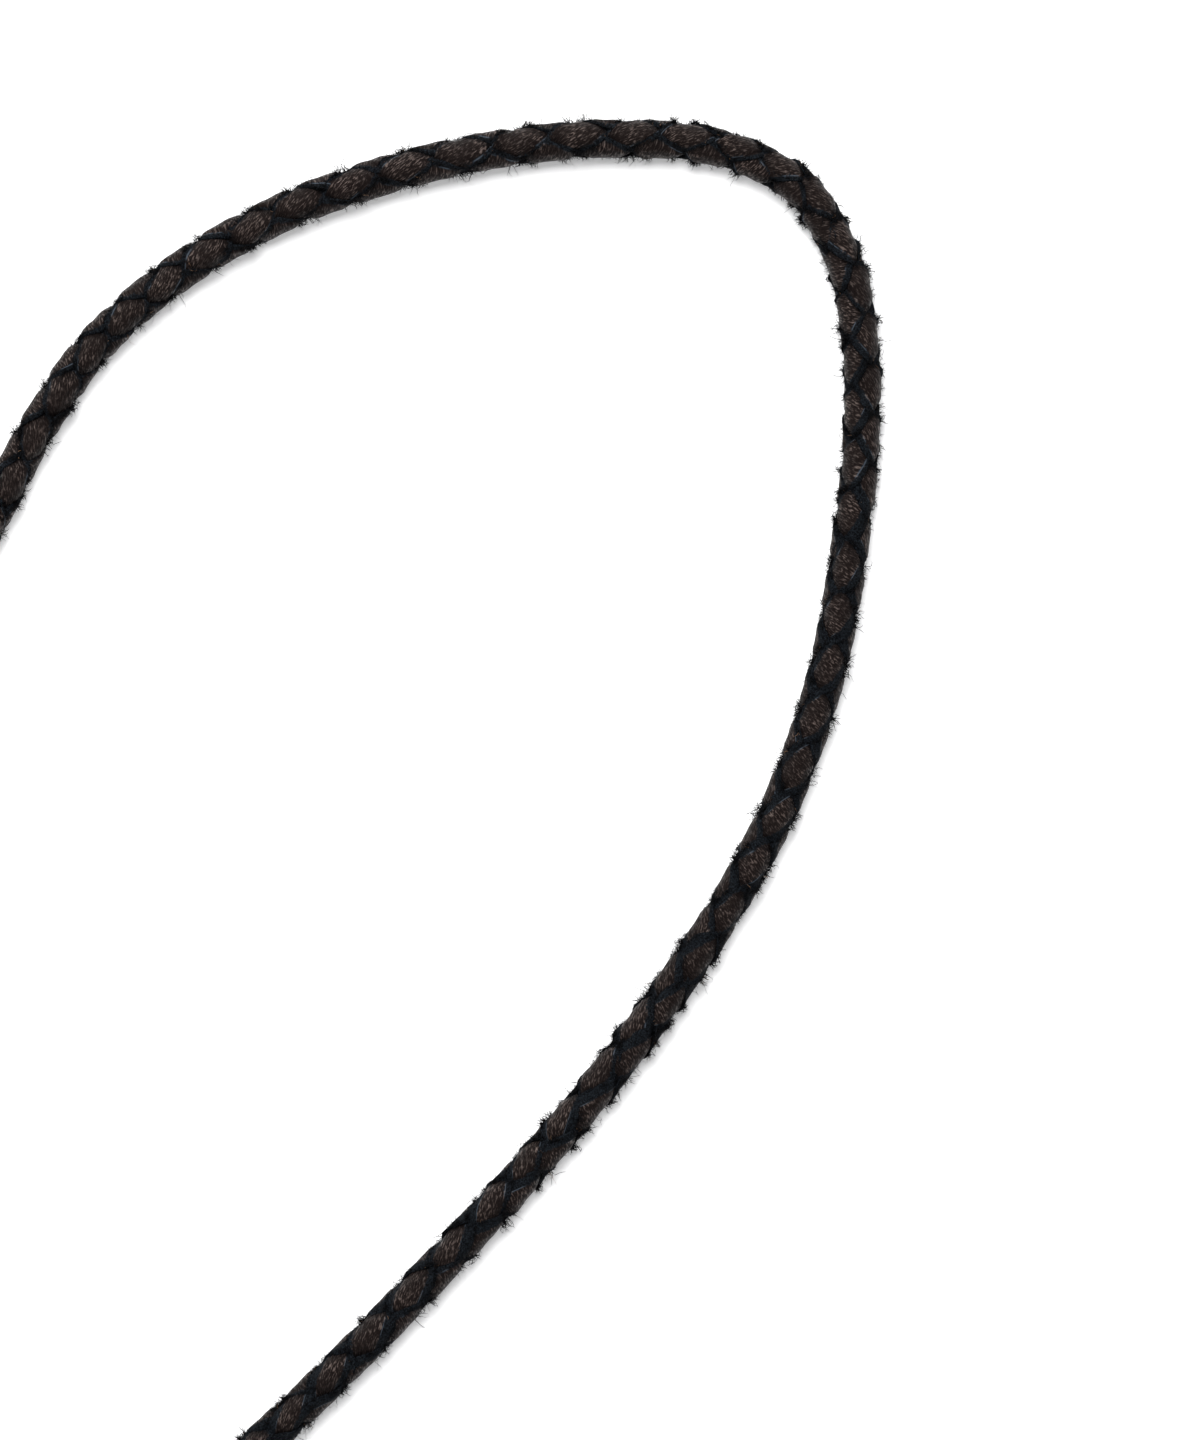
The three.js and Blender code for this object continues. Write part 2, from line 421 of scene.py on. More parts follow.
@dataclass(frozen=True)
class WornNickel:
    """Nickel plate with a satin polish: hairline scratches from wear, tarnish in the hollows."""

    name: str
    colour: str
    tarnish: str
    roughness: float
    scratch_mm: float
    groove_radii: Span | None = None
    groove_width: float = 0.045
    scratch_stretch: float = 0.06
    scratch_relief_mm: float = 0.03
    scratch_strength: float = 0.12
    smudge_mm: float = 5.0
    smudge_range: Span = (0.45, 0.75)
    smudge_depth: float = 0.35
    dulling: float = 1.6

    def _groove(self, tree: NodeTree, place: Socket) -> Socket:
        """Mark an oval groove round Z, from 0 away from it to 1 along it."""
        across, along = self.groove_radii
        squeezed = add_node(
            tree, "ShaderNodeVectorMath", {0: place, 1: (1 / across, 1 / along, 0.0)}, operation="MULTIPLY"
        )
        reach = add_node(tree, "ShaderNodeVectorMath", {0: squeezed.outputs[0]}, operation="LENGTH")
        away = add_math(tree, "SUBTRACT", reach.outputs["Value"], 1.0)
        distance = add_math(tree, "ABSOLUTE", away)
        return add_range(tree, distance, self.groove_width, 0.0, smooth=True)

    def build(self) -> Material:
        """Make the material, which reads the place on the object."""
        material, tree = new_material(self.name)
        place = add_node(tree, "ShaderNodeTexCoord").outputs["Object"]
        stretch = (1.0, self.scratch_stretch, 1.0)
        stretched = add_node(tree, "ShaderNodeMapping", {"Vector": place, "Scale": stretch})
        scratches = add_noise(tree, stretched.outputs[0], self.scratch_mm * MM, 4.0, 0.7)
        smudges = add_noise(tree, place, self.smudge_mm * MM, 4.0, 0.6)
        stained = add_range(tree, smudges, *self.smudge_range, high=self.smudge_depth)
        if self.groove_radii:
            stained = add_math(tree, "MAXIMUM", stained, self._groove(tree, place))
        dulled = self.roughness * self.dulling
        return with_surface(material, {
            "Base Color": add_mix(tree, stained, to_linear(self.colour), to_linear(self.tarnish)),
            "Metallic": 1.0, "Roughness": add_range(tree, stained, 0.0, 1.0, self.roughness, dulled),
            "Normal": add_bump(tree, scratches, self.scratch_strength, self.scratch_relief_mm),
        })


@dataclass(frozen=True)
class WhiteCard:
    """The pale card that the tie lies on: matt, translucent and lit a little from below."""

    colour: str = "#f4f4f4"
    glow_colour: str = "#ffffff"
    glow: float = 0.32
    roughness: float = 0.9
    specular: float = 0.1

    def build(self) -> Material:
        """Make the material."""
        return with_surface(new_material("white_card")[0], {
            "Base Color": to_linear(self.colour), "Roughness": self.roughness,
            "Specular IOR Level": self.specular, "Emission Color": to_linear(self.glow_colour),
            "Emission Strength": self.glow,
        })


# How far along the cord from the left tip's end in millimetres, how many lozenges the braid
# has come from one in the picture, and how far it has turned about the cord in degrees.
BRAID_CHART: Rows = (
    (0.0, -59.0, -250.0), (360.0, -2.9, -28.0), (378.2, 0.0, -17.0), (409.0, 5.0, -6.0),
    (428.4, 8.0, 8.0), (442.7, 10.0, 15.0), (457.1, 12.0, 20.0), (476.6, 15.0, 33.0),
    (487.5, 17.0, 40.0), (517.3, 22.0, 48.0), (526.3, 23.4, 64.0), (533.2, 24.5, 86.0),
    (545.4, 26.5, 91.0), (564.8, 29.5, 98.0), (584.1, 32.5, 112.0), (598.4, 34.5, 130.0),
    (610.2, 36.0, 137.0), (623.3, 38.0, 155.0), (645.1, 41.0, 167.0), (658.9, 43.0, 169.0),
    (676.0, 45.6, 176.0), (960.0, 90.0, 360.0),
)


class CordLine:
    """The cord's middle line, evenly stepped, with the directions across it."""

    STEPS_PER_SPAN: ClassVar[int] = 60

    def __init__(self, points: Rows, step: float) -> None:
        """Lay the line through points in metres, with stations about a step apart."""
        curve = self._curve(np.asarray(points, float), self.STEPS_PER_SPAN)
        reach = np.concatenate([[0.0], np.cumsum(np.linalg.norm(np.diff(curve, axis=0), axis=1))])
        self.length = float(reach[-1])
        self.count = int(round(self.length / step)) + 1
        self.along = np.linspace(0.0, self.length, self.count)
        self.step = self.length / (self.count - 1)
        self.middle = np.stack([np.interp(self.along, reach, curve[:, axis]) for axis in range(3)], axis=1)
        self.tangent = unit(np.gradient(self.middle, axis=0))
        self.side = unit(np.cross(np.array([0.0, 0.0, 1.0]), self.tangent))
        self.up = np.cross(self.tangent, self.side)

    @staticmethod
    def _curve(points: Array, per_span: int) -> Array:
        """Join the points by a centripetal curve with so many steps for each span."""
        padded = np.concatenate([[2 * points[0] - points[1]], points, [2 * points[-1] - points[-2]]])
        share = np.linspace(0.0, 1.0, per_span, endpoint=False)[:, None]
        spans = []
        for before, start, end, after in zip(padded, padded[1:], padded[2:], padded[3:]):
            gap_before = math.sqrt(float(np.linalg.norm(start - before)))
            gap = math.sqrt(float(np.linalg.norm(end - start)))
            gap_after = math.sqrt(float(np.linalg.norm(after - end)))
            along = (end - start) / gap
            leave = (start - before) / gap_before - (end - before) / (gap_before + gap) + along
            arrive = along - (after - start) / (gap + gap_after) + (after - end) / gap_after
            leave = leave * gap
            arrive = arrive * gap
            square = -3 * start + 3 * end - 2 * leave - arrive
            cube = 2 * start - 2 * end + leave + arrive
            spans.append(start + leave * share + square * share ** 2 + cube * share ** 3)
        return np.concatenate([*spans, points[-1:]])

    def out_of(self, angle: Array) -> Array:
        """Give the direction out of the line at an angle from up towards the outer side."""
        return np.cos(angle)[:, None] * self.up + np.sin(angle)[:, None] * self.side


def mesh_object(name: str, points: Array, faces: Array, material: Material) -> Piece:
    """Make a smooth-shaded mesh object from points in metres and rows of vertex numbers."""
    mesh = bpy.data.meshes.new(name)
    corners = faces.shape[1]
    mesh.vertices.add(len(points))
    mesh.vertices.foreach_set("co", points.astype(np.float32).ravel())
    mesh.loops.add(faces.size)
    mesh.loops.foreach_set("vertex_index", faces.astype(np.int32).ravel())
    mesh.polygons.add(len(faces))
    mesh.polygons.foreach_set("loop_start", np.arange(0, faces.size, corners, dtype=np.int32))
    mesh.polygons.foreach_set("loop_total", np.full(len(faces), corners, np.int32))
    mesh.polygons.foreach_set("use_smooth", np.ones(len(faces), bool))
    mesh.update(calc_edges=True)
    mesh.validate()
    mesh.materials.append(material)
    piece = bpy.data.objects.new(name, mesh)
    bpy.context.scene.collection.objects.link(piece)
    return piece


def add_values(piece: Piece, name: str, values: Array) -> None:
    """Store one number for each vertex under a name."""
    attribute = piece.data.attributes.new(name, "FLOAT", "POINT")
    attribute.data.foreach_set("value", values.astype(np.float32).ravel())


@dataclass
class Lace:
    """One of the four laces, as a tube of rings with the place of each edge."""

    number: int
    rings: Array
    over_creases_mm: Array
    along_creases_mm: Array
    side: Array
    sunk: Array
    edge_columns: tuple[int, int]
    widthways: Array

    ATTRIBUTES: ClassVar[tuple[str, ...]] = ("over_creases_mm", "along_creases_mm", "side", "sunk")


@dataclass
class BraidedCord:
    """The cord: four leather laces in a round braid, with worn and frayed edges."""

    line: CordLine
    lace_width: float = 3.6 * MM
    lace_thickness: float = 1.08 * MM
    over_reach: float = 0.4
    over_flatness: float = 0.14
    under_reach: float = 0.18
    roll_share: float = -0.25
    roll_wander: float = 0.05
    roll_wander_mm: float = 7.0
    width_wander: float = 0.05
    width_wander_mm: float = 9.0
    chart_blur_mm: float = 3.0
    wrap_radius: float = 1.95 * MM
    most_wrapped: float = 0.96
    edge_from: float = 0.7
    edge_span: float = 0.25
    edge_relief: float = 1.5
    crease_turn_deg: Span = (-2.0, 64.0)
    felted_from: Span = (0.49, 0.54)
    felt_creep: float = 0.26
    creep_wander: float = 0.16
    creep_wander_mm: float = 3.0
    most_creep: float = 0.5
    seed: int = 11
    laces: list[Lace] = field(default_factory=list)

    # Half of the lace's section, from the middle of the grain face round to the middle
    # of the flesh face: share of the half width, share of the thickness, place round it.
    SECTION: ClassVar[Rows] = (
        (0.0, 0.50, 0.0), (0.22, 0.50, 0.22), (0.43, 0.50, 0.43), (0.62, 0.49, 0.62),
        (0.78, 0.47, 0.78), (0.89, 0.41, 0.9), (0.96, 0.28, 1.02), (1.0, 0.02, 1.2),
        (0.98, -0.28, 1.4), (0.8, -0.47, 1.7), (0.0, -0.5, 2.2),
    )
    # The amount in millimetres and the reach in steps of each layer of unevenness.
    RAGGED_EDGE: ClassVar[Rows] = ((0.06, 0.8), (0.09, 3.0))
    RELIEF: ClassVar[Rows] = ((0.018, 1.0), (0.012, 3.0))
    # Each lace reads its creases from its own stretch of the pattern, which is this long.
    LACE_STRETCH_MM: ClassVar[float] = 2000.0
    ORDER: ClassVar[tuple[tuple[LacePair, bool], ...]] = (
        (LacePair.OUTWARD, False), (LacePair.OUTWARD, True), (LacePair.INWARD, False),
        (LacePair.INWARD, True),
    )

    def _section(self) -> Array:
        """Give the whole section as rows of width share, thickness share and place."""
        half = np.array(self.SECTION)
        other = half[-2:0:-1].copy()
        other[:, 0] *= -1
        return np.concatenate([half, other])

    def _chart(self) -> tuple[Array, Array]:
        """Give the braid's phase and its turn round the cord at each station."""
        along_mm, lozenges, turns_deg = np.array(BRAID_CHART).T
        reach = self.chart_blur_mm * MM / self.line.step
        phase = math.pi * np.interp(self.line.along, along_mm * MM, lozenges)
        turn = np.radians(np.interp(self.line.along, along_mm * MM, turns_deg))
        return smoothed(phase, reach), smoothed(turn, reach)

    def _wander(self, rng: Dice, amount: float, reach_mm: float) -> Array:
        """Make a slow random change along the cord, felt over a reach in millimetres."""
        return amount * smooth_noise(rng, self.line.count, reach_mm * MM / self.line.step)

    def _course(self, pair: LacePair, second: bool, rng: Dice) -> tuple[Array, ...]:
        """Find a lace's middle, the direction that its grain faces and the one across it."""
        line = self.line
        phase, turn = self._chart()
        phase = phase + (math.pi if second else 0.0)
        if pair is LacePair.INWARD:
            phase = phase + math.pi / 2
        wander = self._wander(rng, self.roll_wander, self.roll_wander_mm)
        flat = self.over_flatness
        over = self.over_reach * CORD_DIAMETER * ((1 + flat) * np.cos(phase) - flat * np.cos(3 * phase))
        under = self.under_reach * CORD_DIAMETER * np.sin(phase)
        roll = phase + self.roll_share * np.sin(2 * phase) + wander
        if pair is LacePair.OUTWARD:
            first, crosswise, facing = over, under, roll
        else:
            first, crosswise, facing = -under, -over, -math.pi / 2 - roll
        along_turn = line.out_of(turn)
        across_turn = line.out_of(turn + math.pi / 2)
        centre = line.middle + first[:, None] * along_turn + crosswise[:, None] * across_turn
        return centre, line.out_of(turn + facing), line.out_of(turn + facing + math.pi / 2)

    def _profile(self, section: Array, rng: Dice) -> tuple[Array, Array]:
        """Find how far each point is across the lace and out of its middle, in metres."""
        count = self.line.count
        wander = self._wander(rng, self.width_wander, self.width_wander_mm)
        half_width = 0.5 * self.lace_width * (1 + wander)
        width = half_width[:, None] * section[None, :, 0]
        height = np.repeat(self.lace_thickness * section[None, :, 1], count, axis=0)
        wrapped = np.minimum(np.abs(width), self.most_wrapped * self.wrap_radius)
        height = height - self.wrap_radius + np.sqrt(self.wrap_radius ** 2 - wrapped ** 2)
        at_edge = np.clip((np.abs(section[:, 0]) - self.edge_from) / self.edge_span, 0, 1)
        for column in range(len(section)):
            ragged = layered_noise(rng, count, self.RAGGED_EDGE)
            width[:, column] += MM * at_edge[column] * np.sign(section[column, 0]) * ragged
            relief = layered_noise(rng, count, self.RELIEF)
            height[:, column] += MM * relief * (1 + self.edge_relief * at_edge[column])
        return width, height

    def _side(self, section: Array, rng: Dice) -> Array:
        """Say how near to the cut edge's side each point is, wider where the felt creeps in."""
        start, end = self.felted_from
        felted = np.clip((self.line.along - start) / (end - start), 0.0, 1.0)
        creeps = []
        for _ in range(2):
            creep = self.felt_creep + self._wander(rng, self.creep_wander, self.creep_wander_mm)
            creeps.append(np.clip(felted * creep, 0, self.most_creep)[:, None])
        return section[None, :, 2] * (1 + np.where(section[None, :, 0] > 0, creeps[0], creeps[1]))

    def _lace(self, number: int, pair: LacePair, second: bool) -> Lace:
        """Lay one lace through the braid.

        Args:
            number: The lace's number, from 1.
            pair: Which way it runs round.
            second: Whether it is the other lace of its pair.
        """
        rng = np.random.default_rng(self.seed + number)
        section = self._section()
        centre, outward, widthways = self._course(pair, second, rng)
        width, height = self._profile(section, rng)
        side = self._side(section, rng)
        rings = (
            centre[:, None, :]
            + width[:, :, None] * widthways[:, None, :]
            + height[:, :, None] * outward[:, None, :]
        )
        rings[:, :, 2] = np.maximum(rings[:, :, 2], FLOOR_GAP)
        reach = np.concatenate([[0.0], np.cumsum(np.linalg.norm(np.diff(centre, axis=0), axis=1))])
        lace_along = reach[:, None] / MM + self.LACE_STRETCH_MM * number
        crease_turn = math.radians(self.crease_turn_deg[0 if pair is LacePair.OUTWARD else 1])
        out_from_middle = np.linalg.norm(rings - self.line.middle[:, None, :], axis=2)
        return Lace(
            number=number,
            rings=rings,
            over_creases_mm=width / MM * math.cos(crease_turn) - lace_along * math.sin(crease_turn),
            along_creases_mm=width / MM * math.sin(crease_turn) + lace_along * math.cos(crease_turn),
            side=side,
            sunk=1 - out_from_middle / (CORD_DIAMETER / 2),
            edge_columns=(int(np.argmax(section[:, 0])), int(np.argmin(section[:, 0]))),
            widthways=widthways,
        )

    def _mesh(self, lace: Lace, material: Material) -> Piece:
        """Turn a lace's rings into a closed mesh with its attributes."""
        count, columns, _ = lace.rings.shape
        ring, column = np.meshgrid(np.arange(count - 1), np.arange(columns), indexing="ij")
        here = ring * columns + column
        beside = ring * columns + (column + 1) % columns
        walls = np.stack([here, here + columns, beside + columns, beside], axis=-1).reshape(-1, 4)
        points = lace.rings.reshape(-1, 3)
        caps = [points[:columns].mean(axis=0), points[-columns:].mean(axis=0)]
        points = np.concatenate([points, caps])
        triangles = np.concatenate([walls[:, [0, 1, 2]], walls[:, [0, 2, 3]]])
        rim = np.arange(columns)
        following = (rim + 1) % columns
        start_cap = np.stack([np.full(columns, count * columns), rim, following], axis=1)
        last = (count - 1) * columns
        end_cap = np.stack([np.full(columns, count * columns + 1), last + following, last + rim], axis=1)
        faces = np.concatenate([triangles, start_cap, end_cap])
        piece = mesh_object(f"lace_{lace.number}", points, faces, material)
        for name in Lace.ATTRIBUTES:
            values = getattr(lace, name)
            add_values(piece, name, np.concatenate([values.ravel(), [values[0, 0], values[-1, 0]]]))
        return piece

    def build_laces(self, material: Material) -> list[Piece]:
        """Make the four laces, as four mesh objects."""
        for number, (pair, second) in enumerate(self.ORDER, start=1):
            self.laces.append(self._lace(number, pair, second))
        return [self._mesh(lace, material) for lace in self.laces]


@dataclass(frozen=True)
class FibreKind:
    """One kind of loose fibre, with lengths in millimetres."""

    per_mm: float
    bunch: tuple[int, int]
    bunch_spread: float
    shortest: float
    longest: float
    thickness: float
    joints: int
    curl: float
    lean: float


NAP = FibreKind(
    per_mm=10.0, bunch=(1, 2), bunch_spread=0.0, shortest=0.35, longest=1.1, thickness=0.085, joints=1,
    curl=0.0, lean=0.9,
)
TUFTS = FibreKind(
    per_mm=0.55, bunch=(8, 28), bunch_spread=0.28, shortest=0.45, longest=1.9, thickness=0.085,
    joints=3, curl=0.8, lean=0.6,
)
STRAYS = FibreKind(
    per_mm=0.35, bunch=(1, 4), bunch_spread=0.15, shortest=1.0, longest=3.2, thickness=0.08, joints=4,
    curl=0.45, lean=0.9,
)


@dataclass
class Fraying:
    """The loose fibres along the cut edges of the laces, with tufts where they are worn.

    The lengths of bunches and hairs are shares of what their kind allows.
    """

    cord: BraidedCord
    kinds: tuple[FibreKind, ...] = (NAP, TUFTS, STRAYS)
    shown_from: float = 0.36
    neck_from: float = 0.11
    share_elsewhere: float = 0.42
    share_on_top: float = 0.5
    top_from: float = 0.8
    raw_share: float = 0.008
    bunch_length: Span = (0.4, 1.0)
    hair_length: Span = (0.1, 1.0)
    hair_lean: float = 0.6
    inset_mm: Span = (-0.3, 0.02)
    way_across: float = 0.35
    way_out: float = 0.85
    way_scatter: float = 0.35
    seed: int = 71

    SLIDE_REACH: ClassVar[float] = 15 * MM
    TIPS_FROM: ClassVar[float] = -158 * MM
    PRESSED_BELOW: ClassVar[float] = 0.5 * MM
    THICKNESS: ClassVar[Span] = (0.6, 1.3)
    TAPER: ClassVar[float] = 0.35

    def _roots(self, lace: Lace, kind: FibreKind, rng: Dice) -> tuple[Array, ...]:
        """Choose the roots, directions and lengths in metres of one kind of fibre."""
        line = self.cord.line
        roots, ways, lengths = [], [], []
        for column, sign in zip(lace.edge_columns, (1.0, -1.0)):
            edge = lace.rings[:, column]
            radial = edge - line.middle
            distance = np.linalg.norm(radial, axis=1)
            radial = unit(radial)
            bunches = int(line.length / MM * kind.per_mm)
            hairs = rng.integers(kind.bunch[0], kind.bunch[1], bunches)
            whose = np.repeat(np.arange(bunches), hairs)
            total = len(whose)
            place = rng.uniform(0, line.count - 1, bunches)[whose]
            place = place + rng.normal(0, kind.bunch_spread * MM / line.step, total)
            share = rng.uniform(*self.bunch_length, bunches)[whose]
            share = share * rng.uniform(*self.hair_length, total)
            span = kind.shortest + (kind.longest - kind.shortest) * share
            lean = kind.lean * (rng.normal(0, 1, bunches)[whose] + rng.normal(0, self.hair_lean, total))
            station = np.clip(np.round(place).astype(int), 0, line.count - 1)
            kept = distance[station] > self.shown_from * CORD_DIAMETER
            kept &= self._free(edge[station])
            worn = np.where(line.middle[station, 1] > self.neck_from, 1.0, self.share_elsewhere)
            worn = worn * np.where(np.abs(radial[station, 2]) > self.top_from, self.share_on_top, 1.0)
            kept &= rng.uniform(size=bunches)[whose] < worn
            station, span, lean = station[kept], span[kept], lean[kept]
            past = (np.clip(place[kept], 0, line.count - 1) - station)[:, None]
            between = past * line.step * line.tangent[station]
            inset = rng.uniform(*self.inset_mm, len(station))[:, None] * MM * sign * lace.widthways[station]
            way = (
                self.way_across * sign * lace.widthways[station] + self.way_out * radial[station]
                + lean[:, None] * line.tangent[station]
                + rng.normal(0, self.way_scatter, (len(station), 3))
            )
            roots.append(edge[station] + between + inset)
            ways.append(unit(way))
            lengths.append(span * MM)
        return np.concatenate(roots), np.concatenate(ways), np.concatenate(lengths)

    @classmethod
    def _free(cls, points: Array) -> Array:
        """Tell which points are clear of the slide's channels, the tips and the surface below."""
        in_slide = np.abs(points[:, 1]) < cls.SLIDE_REACH
        in_tip = points[:, 1] < cls.TIPS_FROM
        pressed_flat = points[:, 2] < cls.PRESSED_BELOW
        return ~(in_slide | in_tip | pressed_flat)

    @classmethod
    def _spikes(
        cls, root: Array, way: Array, length: Array, kind: FibreKind, rng: Dice
    ) -> tuple[Array, Array]:
        """Make the points and triangles of closed, curling, three-sided spikes."""
        count = len(root)
        corner = np.radians(np.array([90.0, 210.0, 330.0]))
        across = np.cos(corner)[None, :, None]
        upward = np.sin(corner)[None, :, None]
        thick = kind.thickness * MM * rng.uniform(*cls.THICKNESS, count)
        slanted = np.array([0.31, 0.47, 0.83])
        here, heading = root, way
        rings = []
        for joint in range(kind.joints):
            first = unit(np.cross(heading, slanted))
            second = np.cross(heading, first)
            around = first[:, None, :] * across + second[:, None, :] * upward
            taper = 0.5 * thick * (1 - cls.TAPER * joint / kind.joints)
            rings.append(here[:, None, :] + around * taper[:, None, None])
            here = here + heading * (length / kind.joints)[:, None]
            heading = unit(heading + kind.curl * rng.normal(0, 1, (count, 3)))
        points = np.concatenate([*rings, here[:, None, :]], axis=1)
        points[:, :, 2] = np.maximum(points[:, :, 2], FLOOR_GAP)
        pattern = [[0, 2, 1]]
        for low in range(0, 3 * (kind.joints - 1), 3):
            for side in range(3):
                following = (side + 1) % 3
                pattern.append([low + side, low + following, low + 3 + following])
                pattern.append([low + side, low + 3 + following, low + 3 + side])
        top = 3 * (kind.joints - 1)
        for side in range(3):
            pattern.append([top + side, top + (side + 1) % 3, top + 3])
        size = 3 * kind.joints + 1
        faces = (np.arange(count)[:, None, None] * size + np.array(pattern)[None, :, :]).reshape(-1, 3)
        return points.reshape(-1, 3), faces

    def build(self, lace: Lace, material: Material) -> Piece:
        """Make the fibres of one lace, as one mesh object."""
        rng = np.random.default_rng(self.seed + lace.number)
        all_points, all_faces, all_raw = [], [], []
        start = 0
        for kind in self.kinds:
            root, way, length = self._roots(lace, kind, rng)
            points, faces = self._spikes(root, way, length, kind, rng)
            all_points.append(points)
            all_faces.append(faces + start)
            start += len(points)
            raw = (rng.uniform(size=len(root)) < self.raw_share).astype(float)
            all_raw.append(np.repeat(raw, len(points) // len(root)))
        piece = mesh_object(
            f"frayed_fibres_{lace.number}", np.concatenate(all_points), np.concatenate(all_faces), material
        )
        add_values(piece, "raw", np.concatenate(all_raw))
        return piece


def apply_place() -> None:
    """Turn the selected object's place, turn and size into its shape."""
    bpy.ops.object.transform_apply(location=True, rotation=True, scale=True)


def only(piece: Piece) -> None:
    """Select one object alone and make it active."""
    bpy.ops.object.select_all(action="DESELECT")
    piece.select_set(True)
    bpy.context.view_layer.objects.active = piece


def raise_rings(rings: Iterable[tuple[float, float]], segments: int) -> Piece:
    """Shape a closed round piece on the Z axis by extruding a disc ring after ring.

    Args:
        rings: Radius and height of each ring, in millimetres, the first being the disc.
        segments: How many sides the piece has.
    """
    rings = list(rings)
    radius, height = rings[0]
    bpy.ops.object.select_all(action="DESELECT")
    bpy.ops.mesh.primitive_circle_add(
        vertices=segments, radius=radius * MM, fill_type="NGON", location=(0, 0, height * MM)
    )
    piece = bpy.context.object
    apply_place()
    bpy.ops.object.mode_set(mode="EDIT")
    bpy.ops.mesh.select_all(action="SELECT")
    for next_radius, next_height in rings[1:]:
        rise = (next_height - height) * MM
        bpy.ops.mesh.extrude_region_move(TRANSFORM_OT_translate={"value": (0, 0, rise)})
        ratio = next_radius / radius
        bpy.ops.transform.resize(value=(ratio, ratio, 1), center_override=(0, 0, next_height * MM))
        radius, height = next_radius, next_height
    bpy.ops.mesh.select_all(action="SELECT")
    bpy.ops.mesh.normals_make_consistent(inside=False)
    bpy.ops.object.mode_set(mode="OBJECT")
    return piece


def cut_or_join(piece: Piece, tool: Piece, shaping: Shaping) -> None:
    """Join a tool shape to a piece or cut it out, and remove the tool."""
    only(piece)
    modifier = piece.modifiers.new("shape", "BOOLEAN")
    modifier.operation = shaping.value
    modifier.solver = "EXACT"
    modifier.object = tool
    bpy.ops.object.modifier_apply(modifier=modifier.name)
    bpy.data.objects.remove(tool, do_unlink=True)


@dataclass
class Slide:
    """The slide: a plain domed oval plate with a rim, on a block with two channels."""

    width_mm: float = 32.0
    height_mm: float = 40.0
    segments: int = 128
    block_mm: tuple[float, float, float] = (17.6, 24.0, 7.4)
    block_edge_mm: float = 0.9
    channel_radius_mm: float = 2.57
    channel_spacing_mm: float = 9.0
    channel_height_mm: float = 3.55
    channel_overrun_mm: float = 4.0
    dome_share: float = 0.86
    dome_foot_mm: float = 8.25
    dome_rise_mm: float = 2.55
    smooth_below_deg: float = 32.0

    # Share of the half width and height in millimetres, from the back round to the dome.
    RIM: ClassVar[Rows] = (
        (0.925, 6.7), (0.955, 6.74), (0.985, 6.95), (1.0, 7.35), (1.0, 7.85), (0.995, 8.2), (0.98, 8.55),
        (0.96, 8.8), (0.94, 8.88), (0.92, 8.86), (0.9, 8.74), (0.885, 8.55), (0.875, 8.36),
        (0.865, 8.26),
    )

    def _plate(self) -> Piece:
        """Shape the oval plate."""
        half = self.width_mm / 2
        rim = list(self.RIM)
        dome = [
            (self.dome_share * share, self.dome_foot_mm + self.dome_rise_mm * (1 - share ** 2))
            for share in np.linspace(0.985, 0.02, 22)
        ]
        plate = raise_rings([(share * half, height) for share, height in rim + dome], self.segments)
        only(plate)
        bpy.ops.transform.resize(value=(1, self.height_mm / self.width_mm, 1), center_override=(0, 0, 0))
        apply_place()
        return plate

    def _block(self) -> Piece:
        """Shape the block behind the plate."""
        bpy.ops.object.select_all(action="DESELECT")
        width, length, height = self.block_mm
        bpy.ops.mesh.primitive_cube_add(size=MM, location=(0, 0, height * MM / 2))
        block = bpy.context.object
        block.scale = (width, length, height)
        apply_place()
        bevel = block.modifiers.new("worn_edges", "BEVEL")
        bevel.width = self.block_edge_mm * MM
        bevel.segments = 5
        bpy.ops.object.modifier_apply(modifier=bevel.name)
        return block

    def build(self, material: Material) -> Piece:
        """Make the slide as one closed body."""
        slide = self._plate()
        slide.name = "slide_body"
        cut_or_join(slide, self._block(), Shaping.JOIN)
        for side in (-1, 1):
            bpy.ops.object.select_all(action="DESELECT")
            bpy.ops.mesh.primitive_cylinder_add(
                vertices=64, radius=self.channel_radius_mm * MM,
                depth=(self.block_mm[1] + self.channel_overrun_mm) * MM,
                location=(side * self.channel_spacing_mm / 2 * MM, 0, self.channel_height_mm * MM),
                rotation=(math.pi / 2, 0, 0),
            )
            cut_or_join(slide, bpy.context.object, Shaping.CUT)
        only(slide)
        bpy.ops.object.shade_smooth_by_angle(angle=math.radians(self.smooth_below_deg))
        slide.data.materials.clear()
        slide.data.materials.append(material)
        return slide


